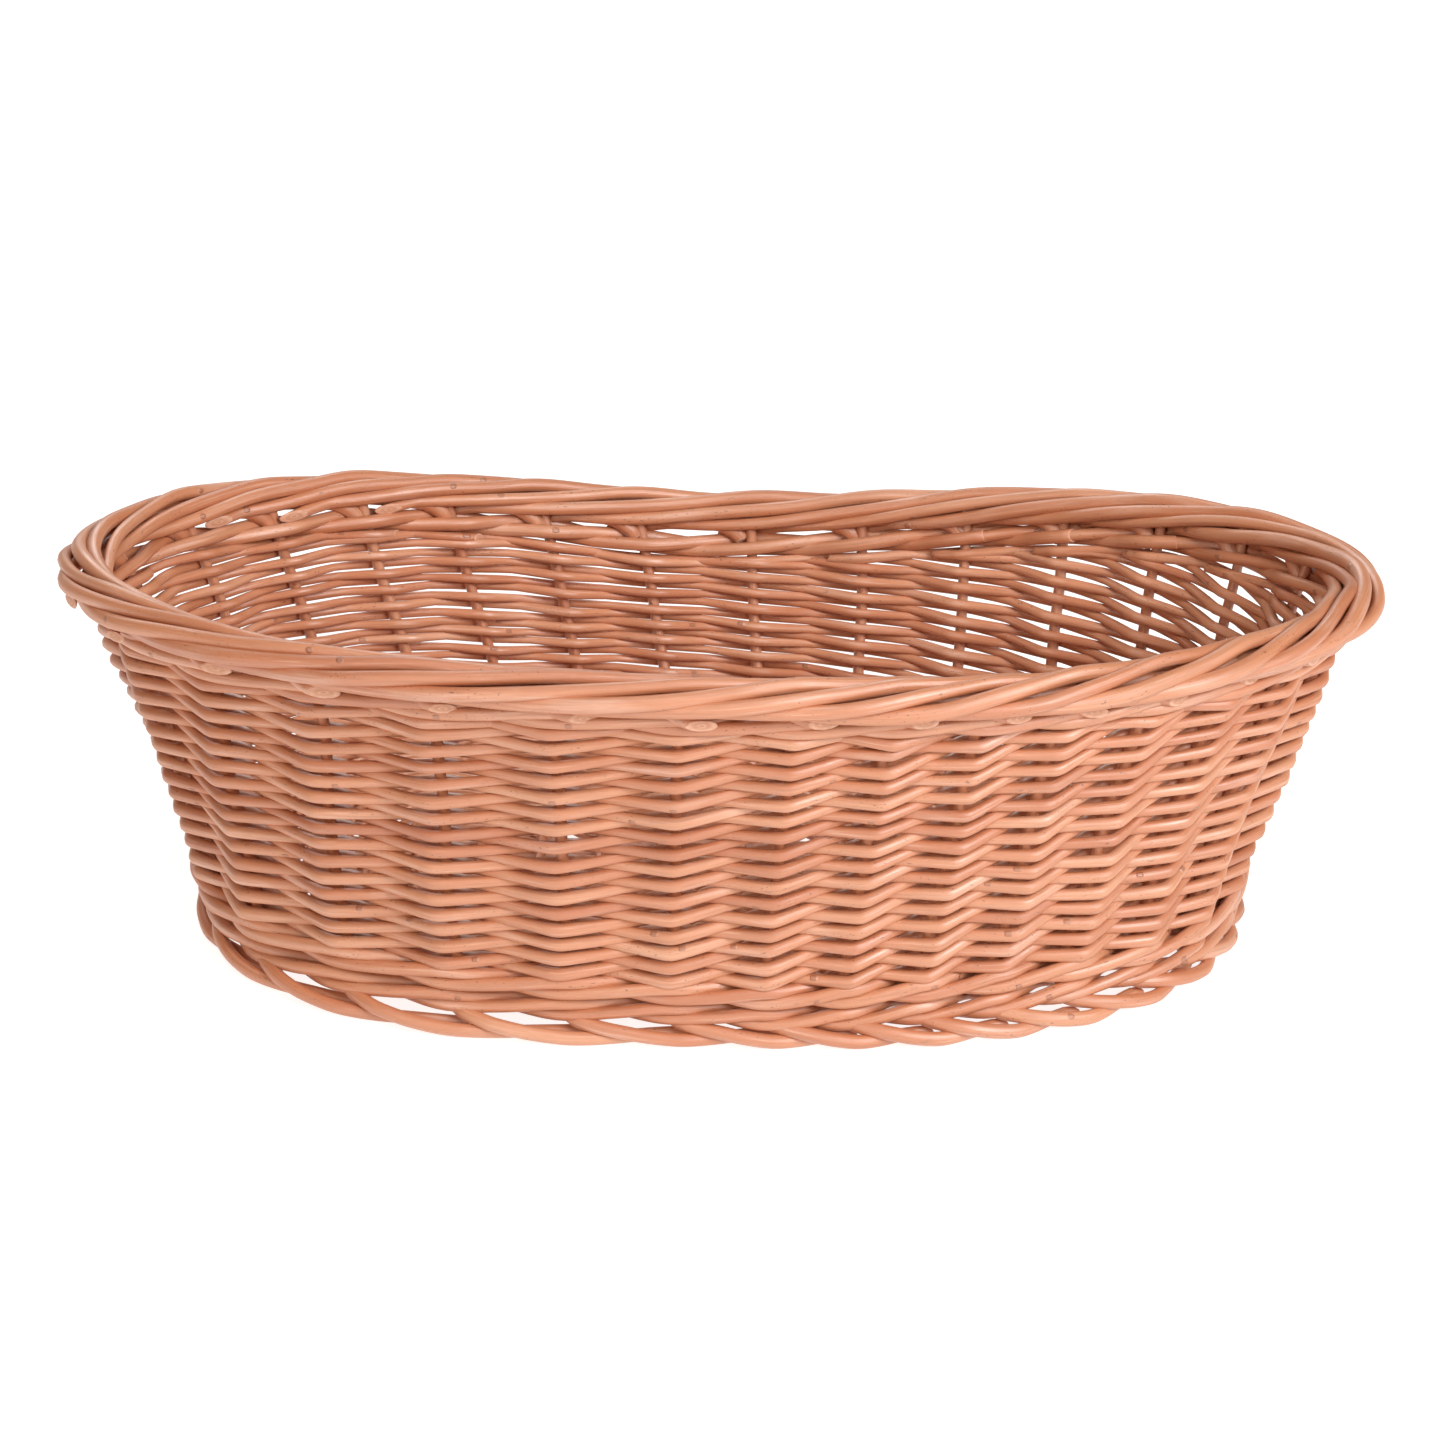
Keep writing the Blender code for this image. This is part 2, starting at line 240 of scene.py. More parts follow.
def wander(rng, place, size):
    """A smooth random sway: one random value per whole number of place, joined by cosine steps."""
    place = place - place.min()
    knots = rng.uniform(-size, size, int(place.max()) + 3)
    lower = place.astype(int)
    ease = (1 - np.cos(math.pi * (place - lower))) / 2
    return knots[lower] * (1 - ease) + knots[lower + 1] * ease


def through(table, place):
    """A smooth curve through a table of (place, value...) rows, by monotone cubic steps."""
    rows = np.array(table, dtype=float)
    columns = []
    for column in range(1, rows.shape[1]):
        x, y = rows[:, 0], rows[:, column]
        secant = np.diff(y) / np.diff(x)
        slope = np.zeros_like(y)
        slope[0], slope[-1] = secant[0], secant[-1]
        same_way = secant[:-1] * secant[1:] > 0
        before, after = np.diff(x)[:-1], np.diff(x)[1:]
        weighted = (before + 2 * after) / np.where(same_way, secant[1:], 1)
        weighted = weighted + (2 * before + after) / np.where(same_way, secant[:-1], 1)
        slope[1:-1] = np.where(same_way, 3 * (before + after) / weighted, 0)
        index = np.clip(np.searchsorted(x, place, side="right") - 1, 0, len(x) - 2)
        width = x[index + 1] - x[index]
        share = (place - x[index]) / width
        columns.append(
            y[index] * (1 + 2 * share) * (1 - share) ** 2
            + y[index + 1] * share ** 2 * (3 - 2 * share)
            + slope[index] * width * share * (1 - share) ** 2
            - slope[index + 1] * width * share ** 2 * (1 - share)
        )
    return columns


def smooth(share):
    """A share from 0 to 1, eased at both ends."""
    return share * share * (3 - 2 * share)


def unit(vectors):
    return vectors / np.linalg.norm(vectors, axis=-1, keepdims=True)


def carried_sideways(forward):
    """A direction square to the rod, carried along it without twist."""
    start = Vector(forward[0]).orthogonal().normalized()
    sideways = [start]
    for before, after in zip(forward, forward[1:]):
        turned = sideways[-1].copy()
        turned.rotate(Vector(before).rotation_difference(Vector(after)))
        sideways.append(turned)
    return np.array([tuple(item) for item in sideways])


def cut_normal(forward, facing, angle):
    """Normal of a slanting cut that looks toward facing; an angle of 0 is a square cut."""
    side = np.asarray(facing, dtype=float)
    side = side - forward * np.dot(side, forward)
    return forward * math.cos(angle) + unit(side) * math.sin(angle)


def trim(rings, centres, normal, forward):
    """Cut the last ring of a rod to a plane, and pull back what stands beyond the plane."""
    end = centres[-1]
    for index in range(len(rings) - 1, -1, -1):
        beyond = (rings[index] - end) @ normal
        if index < len(rings) - 1:
            if beyond.max() <= 0:
                break
            beyond = np.maximum(beyond, 0)
        rings[index] = rings[index] - np.outer(beyond / np.dot(forward, normal), forward)


THICKNESS_STEP, THICKNESS_SWAY = 0.030, 0.035
OVALNESS_STEP, OVALNESS_SWAY = 0.045, 0.03
CUT_SLANTS = (0.2, 0.7)
CUT_RIM = 0.86
CUT_CROWN = 0.10
TINTS = (0.24, 0.76)
SHARP_ANGLE = math.radians(50)


def rod(name, points, radii, rng, nodes, cuts=(None, None), sides=SIDES, tint=None, polish=1.0):
    """One willow rod along a path: round, with slightly uneven thickness and a cut face at each end.

    Each cut is the direction that its face looks toward and its slant; without them they are random.
    """
    points = np.asarray(points, dtype=float)
    forward = unit(np.gradient(points, axis=0))
    sideways = carried_sideways(forward)
    upward = np.cross(forward, sideways)
    steps = np.concatenate([[0], np.cumsum(np.linalg.norm(np.diff(points, axis=0), axis=1))])
    radii = np.broadcast_to(radii, steps.shape) * (1 + wander(rng, steps / THICKNESS_STEP, THICKNESS_SWAY))
    turn = 2 * math.pi * np.arange(sides) / sides
    ovalness = 1 + wander(rng, steps / OVALNESS_STEP, OVALNESS_SWAY)[:, None]
    shift_side = np.cos(turn)[None, :] * radii[:, None] * ovalness
    shift_up = np.sin(turn)[None, :] * radii[:, None] / ovalness
    rings = (
        points[:, None, :]
        + sideways[:, None, :] * shift_side[:, :, None]
        + upward[:, None, :] * shift_up[:, :, None]
    )
    facings = []
    for end, cut in zip((0, -1), cuts):
        away = -forward[0] if end == 0 else forward[-1]
        if cut is None:
            cut = (rng.normal(size=3), rng.uniform(*CUT_SLANTS))
        facings.append(cut_normal(away, *cut))
    trim(rings, points, facings[1], forward[-1])
    flipped, backwards = rings[::-1].copy(), points[::-1]
    trim(flipped, backwards, facings[0], -forward[0])
    rings = flipped[::-1]

    seed = rng.uniform(0, 40)
    grain = np.stack(
        [np.broadcast_to(steps[:, None], shift_side.shape) + seed, shift_side, shift_up], axis=-1
    )
    girth = np.broadcast_to(radii[:, None], shift_side.shape)
    polish = np.broadcast_to(polish, steps.shape)
    polishes = [np.repeat(polish, sides)]
    verts = [rings.reshape(-1, 3)]
    grains = [grain.reshape(-1, 3)]
    girths = [girth.reshape(-1)]
    count = len(points)
    ring = np.arange(sides)
    following = (ring + 1) % sides
    quads = []
    base = (np.arange(count - 1) * sides)[:, None]
    around = [base + ring, base + following, base + sides + following, base + sides + ring]
    quads.append(np.stack(around, axis=-1).reshape(-1, 4))
    triangles = []
    total = count * sides
    for end, normal in ((0, facings[0]), (count - 1, facings[1])):
        edge = rings[end]
        centre = edge.mean(axis=0)
        lift = normal * radii[end] * CUT_CROWN
        inner = centre + (edge - centre) * CUT_RIM + lift
        verts += [inner, (centre + lift * 0.6)[None, :]]
        middle_grain = grain[end].mean(axis=0)
        grains += [middle_grain + (grain[end] - middle_grain) * CUT_RIM, middle_grain[None, :]]
        girths += [np.full(sides, radii[end]), np.full(1, radii[end])]
        polishes.append(np.full(sides + 1, polish[end]))
        edge_index, inner_index = end * sides + ring, total + ring
        middle_index = np.full(sides, total + sides)
        band = np.stack([edge_index, edge_index[following], inner_index[following], inner_index], axis=-1)
        fan = np.stack([inner_index, inner_index[following], middle_index], axis=-1)
        if end == 0:
            band, fan = band[:, ::-1], fan[:, ::-1]
        quads.append(band)
        triangles.append(fan)
        total += sides + 1
    new_piece(
        name, np.concatenate(verts), np.concatenate(quads), np.concatenate(triangles), np.concatenate(grains),
        np.concatenate(girths), np.concatenate(polishes), (count - 1) * sides, nodes,
        rng.uniform(*TINTS) if tint is None else tint,
    )


def set_attribute(mesh, name, kind, field, values):
    mesh.attributes.new(name, kind, "POINT").data.foreach_set(field, values.astype(np.float32).ravel())


def new_piece(name, verts, quads, triangles, grains, girths, polishes, side_faces, nodes, tint):
    """A piece from its mesh data, riding on the body and standing for CAD nodes; cut faces come last."""
    mesh = bpy.data.meshes.new(name)
    mesh.vertices.add(len(verts))
    mesh.vertices.foreach_set("co", verts.astype(np.float32).ravel())
    corners = np.concatenate([quads.ravel(), triangles.ravel()]).astype(np.int32)
    sizes = np.concatenate([np.full(len(quads), 4), np.full(len(triangles), 3)]).astype(np.int32)
    mesh.loops.add(len(corners))
    mesh.loops.foreach_set("vertex_index", corners)
    mesh.polygons.add(len(sizes))
    mesh.polygons.foreach_set("loop_start", np.concatenate([[0], np.cumsum(sizes)[:-1]]).astype(np.int32))
    slots = (np.arange(len(sizes)) >= side_faces).astype(np.int32)
    mesh.polygons.foreach_set("material_index", slots)
    mesh.update(calc_edges=True)
    set_attribute(mesh, "grain", "FLOAT_VECTOR", "vector", grains)
    set_attribute(mesh, "girth", "FLOAT", "value", girths)
    set_attribute(mesh, "polish", "FLOAT", "value", polishes)
    set_attribute(mesh, "tint", "FLOAT", "value", np.full(len(verts), tint))
    mesh.shade_smooth()
    mesh.set_sharp_from_angle(angle=SHARP_ANGLE)
    mesh.materials.append(WILLOW)
    mesh.materials.append(CUT_WILLOW)
    item = bpy.data.objects.new(name, mesh)
    bpy.context.scene.collection.objects.link(item)
    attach(item, "root")
    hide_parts(*nodes)


# Materials

WILLOW_TONES = (
    (0.0, (0.45, 0.136, 0.050)), (0.3, (0.53, 0.184, 0.076)),
    (0.65, (0.59, 0.235, 0.109)), (1.0, (0.66, 0.318, 0.176)),
)
DARK_MOTTLE = (0.47, 0.175, 0.080, 1)
PALE_MOTTLE = (0.80, 0.53, 0.41, 1)
DARK_STREAK = (0.40, 0.145, 0.065, 1)
PALE_STREAK = (0.84, 0.56, 0.44, 1)
DARK_FIBRE = (0.38, 0.14, 0.07, 1)
SPECK = (0.10, 0.035, 0.018, 1)
SCAR = (0.27, 0.13, 0.06, 1)
BUD = (0.24, 0.085, 0.040, 1)
PALE_WOOD = (0.72, 0.41, 0.285, 1)
TANNED_WOOD = (0.62, 0.32, 0.205, 1)
GROWTH_RING = (0.52, 0.24, 0.13, 1)
PITH = (0.45, 0.21, 0.10, 1)
BARK_RIM = (0.50, 0.22, 0.11, 1)
# Bud marks: their number, their reach along the rod as a share of their spacing, and their depth
# into it as a share of its thickness
BUDS_PER_METRE = 9.0
BUD_REACH = 0.016
BUD_DEPTH = 0.07


def add_node(tree, kind, inputs=(), **settings):
    """Add a shader node, set its properties, and link or set its inputs by name or number."""
    item = tree.nodes.new(kind)
    for key, value in settings.items():
        setattr(item, key, value)
    for key, value in dict(inputs).items():
        if isinstance(value, bpy.types.NodeSocket):
            tree.links.new(value, item.inputs[key])
        else:
            item.inputs[key].default_value = value
    return item


def attribute(tree, name, output="Fac"):
    return add_node(tree, "ShaderNodeAttribute", attribute_name=name).outputs[output]


def scaled_noise(tree, vector, scale, detail=3.0, roughness=0.55):
    """Noise with its own scale along and across the rod."""
    stretched = add_node(tree, "ShaderNodeVectorMath", {0: vector, 1: scale}, operation="MULTIPLY")
    settings = {"Vector": stretched.outputs[0], "Scale": 1.0, "Detail": detail, "Roughness": roughness}
    return add_node(tree, "ShaderNodeTexNoise", settings).outputs["Fac"]


def ranged(tree, value, low, high, to_low=0.0, to_high=1.0):
    """A value eased from one range to another; a range may run downward."""
    item = add_node(
        tree, "ShaderNodeMapRange",
        {"Value": value, "From Min": low, "From Max": high, "To Min": to_low, "To Max": to_high},
        interpolation_type="SMOOTHSTEP",
    )
    return item.outputs["Result"]


def arithmetic(tree, operation, first, second):
    return add_node(tree, "ShaderNodeMath", {0: first, 1: second}, operation=operation).outputs[0]


def mixed(tree, amount, first, second, blend="MIX"):
    item = add_node(tree, "ShaderNodeMix", data_type="RGBA", blend_type=blend)
    for socket, value in ((item.inputs[0], amount), (item.inputs[6], first), (item.inputs[7], second)):
        if isinstance(value, bpy.types.NodeSocket):
            tree.links.new(value, socket)
        else:
            socket.default_value = value
    return item.outputs[2]


def ramp(tree, value, stops):
    item = add_node(tree, "ShaderNodeValToRGB", {"Fac": value})
    elements = item.color_ramp.elements
    while len(elements) < len(stops):
        elements.new(0.5)
    for element, (place, colour) in zip(elements, stops):
        element.position = place
        element.color = (*colour, 1)
    return item.outputs["Color"]


def new_material(name):
    material = bpy.data.materials.new(name)
    material.use_nodes = True
    tree = material.node_tree
    shader = tree.nodes["Principled BSDF"]
    return material, tree, shader


def bud_marks(tree, grain, girth):
    """Small scars where buds sat, some centimetres apart, now on one side of the rod and now on the other."""
    apart = add_node(tree, "ShaderNodeSeparateXYZ", {0: grain})
    cell = add_node(
        tree, "ShaderNodeTexVoronoi", {"W": apart.outputs["X"], "Scale": BUDS_PER_METRE, "Randomness": 1.0},
        voronoi_dimensions="1D",
    )
    flip = add_node(tree, "ShaderNodeSeparateColor", {0: cell.outputs["Color"]})
    sign = arithmetic(tree, "SUBTRACT", arithmetic(tree, "ROUND", flip.outputs[0], 0.0), 0.5)
    aside = arithmetic(tree, "MULTIPLY", arithmetic(tree, "DIVIDE", apart.outputs["Z"], girth), sign)
    along = arithmetic(tree, "DIVIDE", cell.outputs["Distance"], BUD_REACH)
    around = arithmetic(tree, "DIVIDE", arithmetic(tree, "SUBTRACT", 0.5, aside), BUD_DEPTH)
    squares = [arithmetic(tree, "POWER", side, 2.0) for side in (along, around)]
    reach = arithmetic(tree, "ADD", *squares)
    return ranged(tree, reach, 1.0, 0.3)


def willow_material():
    """Buffed willow: stretched streaks, mottling, specks and bud marks, with its own tone for each rod."""
    material, tree, shader = new_material("buff_willow")
    grain = attribute(tree, "grain", "Vector")
    tint = attribute(tree, "tint")
    girth = attribute(tree, "girth")
    streaks = scaled_noise(tree, grain, (24, 800, 800), 5.0, 0.62)
    fine = scaled_noise(tree, grain, (110, 3200, 3200), 2.0)
    mottle = scaled_noise(tree, grain, (16, 90, 90), 3.0)
    patches = scaled_noise(tree, grain, (5, 20, 20), 2.0)
    specks = scaled_noise(tree, grain, (650, 1300, 1300), 1.0)
    speck_mask = scaled_noise(tree, grain, (40, 160, 160), 1.0)

    tone = arithmetic(tree, "ADD", tint, ranged(tree, patches, 0.3, 0.7, -0.22, 0.22))
    colour = ramp(tree, tone, WILLOW_TONES)
    colour = mixed(tree, ranged(tree, mottle, 0.50, 0.78, 0.0, 0.55), colour, DARK_MOTTLE)
    colour = mixed(tree, ranged(tree, mottle, 0.48, 0.25, 0.0, 0.35), colour, PALE_MOTTLE)
    colour = mixed(tree, ranged(tree, streaks, 0.50, 0.74, 0.0, 0.60), colour, DARK_STREAK)
    colour = mixed(tree, ranged(tree, streaks, 0.46, 0.28, 0.0, 0.35), colour, PALE_STREAK)
    colour = mixed(tree, ranged(tree, fine, 0.45, 0.80, 0.0, 0.30), colour, DARK_FIBRE)
    dark_specks = arithmetic(
        tree, "MULTIPLY", ranged(tree, specks, 0.66, 0.74), ranged(tree, speck_mask, 0.50, 0.62)
    )
    colour = mixed(tree, arithmetic(tree, "MULTIPLY", dark_specks, 0.75), colour, SPECK)
    scars = scaled_noise(tree, grain, (22, 70, 70), 4.0, 0.7)
    colour = mixed(tree, ranged(tree, scars, 0.68, 0.74, 0.0, 0.55), colour, SCAR)
    buds = bud_marks(tree, grain, girth)
    colour = mixed(tree, arithmetic(tree, "MULTIPLY", buds, 0.5), colour, BUD)
    tree.links.new(colour, shader.inputs["Base Color"])

    rough = ranged(tree, streaks, 0.3, 0.7, 0.37, 0.49)
    rough = arithmetic(tree, "ADD", rough, ranged(tree, mottle, 0.3, 0.7, 0.0, 0.10))
    rough = arithmetic(tree, "ADD", rough, ranged(tree, attribute(tree, "polish"), 0.0, 1.0, 0.42, 0.0))
    tree.links.new(rough, shader.inputs["Roughness"])
    shader.inputs["Specular IOR Level"].default_value = 1.0
    shader.inputs["IOR"].default_value = 1.62
    height = arithmetic(tree, "MULTIPLY", streaks, 0.5)
    for relief, amount in ((fine, 0.15), (mottle, 0.8), (buds, 0.9)):
        height = arithmetic(tree, "ADD", height, arithmetic(tree, "MULTIPLY", relief, amount))
    bump = add_node(tree, "ShaderNodeBump", {"Height": height, "Strength": 0.75, "Distance": 0.0006})
    tree.links.new(bump.outputs["Normal"], shader.inputs["Normal"])
    return material


def cut_material():
    """Cut willow: pale wood with faint growth rings, a soft pith and a darker rim."""
    material, tree, shader = new_material("cut_willow")
    grain = attribute(tree, "grain", "Vector")
    girth = attribute(tree, "girth")
    across = add_node(tree, "ShaderNodeVectorMath", {0: grain, 1: (0, 1, 1)}, operation="MULTIPLY")
    reach = add_node(tree, "ShaderNodeVectorMath", {0: across.outputs[0]}, operation="LENGTH")
    ratio = arithmetic(tree, "DIVIDE", reach.outputs["Value"], girth)
    blotch = scaled_noise(tree, grain, (900, 900, 900), 3.0)
    ratio = arithmetic(tree, "ADD", ratio, ranged(tree, blotch, 0.3, 0.7, -0.06, 0.06))
    colour = mixed(tree, ranged(tree, blotch, 0.35, 0.7), PALE_WOOD, TANNED_WOOD)
    ring = arithmetic(tree, "MULTIPLY", ranged(tree, ratio, 0.66, 0.52), ranged(tree, ratio, 0.22, 0.36))
    colour = mixed(tree, arithmetic(tree, "MULTIPLY", ring, 0.55), colour, GROWTH_RING)
    colour = mixed(tree, ranged(tree, ratio, 0.20, 0.12, 0.0, 0.6), colour, PITH)
    colour = mixed(tree, ranged(tree, ratio, 0.88, 0.98, 0.0, 0.7), colour, BARK_RIM)
    tree.links.new(colour, shader.inputs["Base Color"])
    shader.inputs["Roughness"].default_value = 0.62
    bump = add_node(tree, "ShaderNodeBump", {"Height": blotch, "Strength": 0.4, "Distance": 0.0003})
    tree.links.new(bump.outputs["Normal"], shader.inputs["Normal"])
    return material


WILLOW = willow_material()
CUT_WILLOW = cut_material()


# Rods of the wall

def outward_at(count):
    """Direction straight out of the basket at a stake count."""
    near = wall_by_share(np.array([count]), np.array([1.0]), np.array([0.0]))[0]
    far = wall_by_share(np.array([count]), np.array([1.0]), np.array([0.01]))[0]
    return unit(far - near)


def gap_places(start, end, steps=GAP_STEPS):
    """Even places along a rod, with so many steps for each gap between stakes."""
    return np.linspace(start, end, max(int(round((end - start) * steps)), 4) + 1)


def kinked_places(start, end):
    """Places along a rod, closer together beside every stake, where the rod turns sharply."""
    whole = np.arange(math.floor(start), math.ceil(end) + 1)
    place = (whole[:, None] + np.array(KINK_STEPS)[None, :]).ravel()
    inner = place[(place > start + 0.02) & (place < end - 0.02)]
    return np.concatenate([[start], inner, [end]])


def make_stakes():
    """Stakes: a tail in the base, a bend at the foot and the upright of the wall."""
    rng = np.random.default_rng(11)
    for number in range(STAKE_COUNT):
        up = np.linspace(STAKE_START, float(wall_length(number)) + STAKE_INTO_BORDER, 34)
        count = number + wander(rng, up / 0.05, 0.03)
        body = wall(count, up, wander(rng, up / 0.05, 0.0003))
        corner = wall_by_share(np.array([float(number)]), np.array([0.04]), np.array([0.0]))[0]
        corner[2] = BASE_STICK_HEIGHT
        inward = -unit(np.array([corner[0], corner[1], 0.0]))
        tail = np.array([corner + inward * reach for reach in np.linspace(STAKE_TAIL, STAKE_TAIL_END, 7)])
        bend = np.array([corner + inward * reach + np.array([0, 0, rise]) for reach, rise in STAKE_BEND])
        points = np.concatenate([tail, bend, body[body[:, 2] > BASE_STICK_HEIGHT + 0.006]])
        radii = STAKE_RADIUS * np.linspace(1.06, 0.94, len(points)) * rng.uniform(0.96, 1.05)
        rod(f"wall_stake_{number + 1:02d}", points, radii, rng, [f"stake_{number + 1:02d}"])


def at_back(count):
    """1 along the low side and 0 along the high side of the wall."""
    return smooth(np.clip((np.sin(stake_angle(count)) + 0.1) / 0.6, 0, 1))


def row_height(count, passed):
    """Distance up the wall of a randing rod; the rows sag and lie closer in the entrance dip."""
    dip = np.exp(-((np.mod(count, STAKE_COUNT) - DIP_COUNT) / DIP_WIDTH) ** 2)
    return siding_bottom(count) + (WEAVER_RADIUS + passed * ROW_PITCH / 2) * (1 - DIP_SQUEEZE * dip)


def randing_runs(line):
    """Runs of front passes that fit under the top wale, for one climbing line of the randing."""
    runs = []
    for passed in range(0, LAST_PASS, 2):
        count = line + passed
        fits = row_height(count, passed) <= siding_top(count) - WEAVER_RADIUS + ROW_SQUEEZE
        if fits and runs and runs[-1][1] == passed - 2:
            runs[-1][1] = passed
        elif fits:
            runs.append([passed, passed])
    return runs


def make_siding():
    """French randing: rods climb to the right, in front of one stake and behind the next."""
    rng = np.random.default_rng(23)
    number = 0
    for line in range(STAKE_COUNT):
        for first, last in randing_runs(line):
            number += 1
            start, end = first - rng.uniform(*WEAVER_START_REACH), last + rng.uniform(*WEAVER_END_REACH)
            place = kinked_places(start, end)
            count = line + place
            lay = np.arcsin(KINK * np.cos(math.pi * place)) / math.asin(KINK)
            up = row_height(count, place)
            up = np.minimum(up, siding_top(count) - WEAVER_RADIUS)
            up = up - KINK_SAG * np.abs(lay) + wander(rng, place / 1.7, 0.0006)
            radii = WEAVER_RADIUS - WEAVER_NARROWING * (1 - np.abs(lay))
            length = (place - place[0]) / (place[-1] - place[0])
            radii = radii * (1 + WEAVER_TAPER * (0.5 - length)) * rng.uniform(0.94, 1.06)
            at_right = np.clip(np.cos(stake_angle(count)), 0, 1)
            radii = radii * (1 - LOW_SIDE_NARROWING * at_back(count) * (1 - RIGHT_END_SHARE * at_right))
            outward = (STAKE_RADIUS + radii) * lay + wander(rng, place / 2.1, 0.0003)
            polish = np.maximum(np.clip((lay + 0.15) / 0.25, 0, 1), np.clip((-lay - 0.7) / 0.2, 0, 1))
            inside = -outward_at(float(count[0]))
            cuts = ((inside + np.array([0, 0, 0.3]), math.radians(60)), None)
            path = wall(count, up, outward)
            rod(
                f"weaver_{number:02d}", path, radii, rng, ["siding_weave"], cuts,
                polish=polish,
            )


# Rows of place, share of the pitch upward and share of the offset outward, for one wave of a waling rod
WALE_CYCLE = (
    (-1.0, 0.38, -1.0), (-0.5, 0.20, 0.0), (0.0, 0.25, 0.97), (0.5, 0.50, 1.08), (1.0, 0.75, 0.97),
    (1.5, 0.62, 0.0), (2.0, 0.38, -1.0), (2.5, 0.20, 0.0),
)


def make_wale(name, rng, laps, pitch, radius, low_edge, node):
    """Three-rod waling: each rod passes in front of two stakes and behind one."""
    number = 0
    for lap in range(laps):
        for strand in range(3):
            number += 1
            start = WALE_START + strand + WALE_LAP_SHIFT * lap
            place = gap_places(-1.0 - rng.uniform(0.15, 0.3), STAKE_COUNT - 1.0 + rng.uniform(0.15, 0.3))
            count = start + place
            cycle = np.mod(place + 0.5, 3) - 0.5
            rise, lay = through(WALE_CYCLE, cycle)
            up = low_edge(count) + (lap + rise) * pitch + wander(rng, place / 1.5, 0.0002)
            outward = lay * (STAKE_RADIUS + radius)
            length = (place - place[0]) / (place[-1] - place[0])
            radii = radius * (1.08 - 0.16 * length) * rng.uniform(0.97, 1.04)
            rod(f"{name}_{number}", wall(count, up, outward), radii, rng, [node])


# Borders

def border_point(count, outward, below):
    """Points near the rim: offset outward from the stake line and distance under the rim's top."""
    angle = stake_angle(count)
    x, y = rim_line(outward, angle)
    return np.stack([x, y, rim_height(angle) - below], axis=-1)


def ellipse_turn(share):
    """Section angle of a border rod, moving by equal arc lengths round the border's section."""
    turn = np.linspace(BORDER_START_TURN, BORDER_END_TURN, 400)
    speed = np.hypot(BORDER_RADIAL * np.sin(turn), BORDER_RISE * np.cos(turn))
    arc = np.concatenate([[0], np.cumsum((speed[1:] + speed[:-1]) / 2)])
    return np.interp(share, arc / arc[-1], turn)


# Rows of place, offset outward and distance below the rim's top, down beside the stake
BORDER_ENTRY = (
    (BORDER_START, -0.0006, 0.0205), (0.12, -0.0002, 0.0165), (0.30, 0.0012, 0.0125), (0.9, 0.0036, 0.0112),
)


def make_border():
    """Rolled border: each rod goes behind the next stake, out, over the top and back out underneath."""
    rng = np.random.default_rng(37)
    for number in range(STAKE_COUNT):
        end = BORDER_END + rng.uniform(-0.08, 0.10)
        if number in CUT_INSIDE:
            end = BORDER_IN + rng.uniform(0.30, 0.55)
        place = gap_places(BORDER_START, end, 14)
        share = np.clip((place - BORDER_OUT) / (BORDER_IN - BORDER_OUT), 0, 1)
        turn = ellipse_turn(share)
        ring_out = BORDER_CENTRE + BORDER_RADIAL * np.cos(turn)
        ring_below = BORDER_HEIGHT / 2 - BORDER_RISE * np.sin(turn) + BORDER_DROP
        ring_below = ring_below - BORDER_CREST_LIFT * np.exp(-((place - BORDER_CREST) / 0.45) ** 2)
        ring_out = ring_out + BORDER_SHOULDER_OUT * np.exp(-((place - BORDER_SHOULDER) / 0.5) ** 2)
        if number in CUT_INSIDE:
            exit_rows = (
                (BORDER_IN, ring_out[-1], ring_below[-1]), (BORDER_IN + 0.3, -0.0040, 0.0140),
                (BORDER_IN + 0.7, -0.0075, 0.0165), (BORDER_END + 0.2, -0.0080, 0.0168),
            )
        else:
            proud = 0.0050 if number in CUT_PROUD else 0.0
            exit_rows = (
                (BORDER_IN, ring_out[-1], ring_below[-1]), (BORDER_IN + 0.3, 0.0014, 0.0133),
                (BORDER_IN + 0.55, 0.0054, 0.0168), (BORDER_END - 0.05, 0.0080 + proud, 0.0188),
                (BORDER_END + 0.2, 0.0090 + proud * 1.3, 0.0194 - proud * 0.3),
            )
        entry_rows = BORDER_ENTRY + ((BORDER_OUT, ring_out[0], ring_below[0]),)
        entry_out, entry_below = through(entry_rows, np.clip(place, BORDER_START, BORDER_OUT))
        exit_out, exit_below = through(exit_rows, np.clip(place, BORDER_IN, BORDER_END + 0.2))
        entering, leaving = place < BORDER_OUT, place > BORDER_IN
        outward = np.where(entering, entry_out, np.where(leaving, exit_out, ring_out))
        below = np.where(entering, entry_below, np.where(leaving, exit_below, ring_below))
        looser = 1 + 0.5 * np.exp(-((np.mod(number + place, STAKE_COUNT) - LOOSE_END_COUNT) / 2.0) ** 2)
        outward = outward + wander(rng, place / 0.9, BORDER_SWAY[0]) * looser
        below = below + wander(rng, place / 1.0, BORDER_SWAY[1]) * looser
        length = (place - place[0]) / (place[-1] - place[0])
        radii = BORDER_RADII[0] + (BORDER_RADII[1] - BORDER_RADII[0]) * length
        facing = outward_at(float(number + end)) * (-1 if number in CUT_INSIDE else 1)
        path = border_point(number + place, outward, below)
        rod(
            f"border_rod_{number + 1:02d}", path, radii * rng.uniform(0.86, 1.12), rng,
            ["rolled_border"], (None, (facing, math.radians(68))), sides=12,
        )


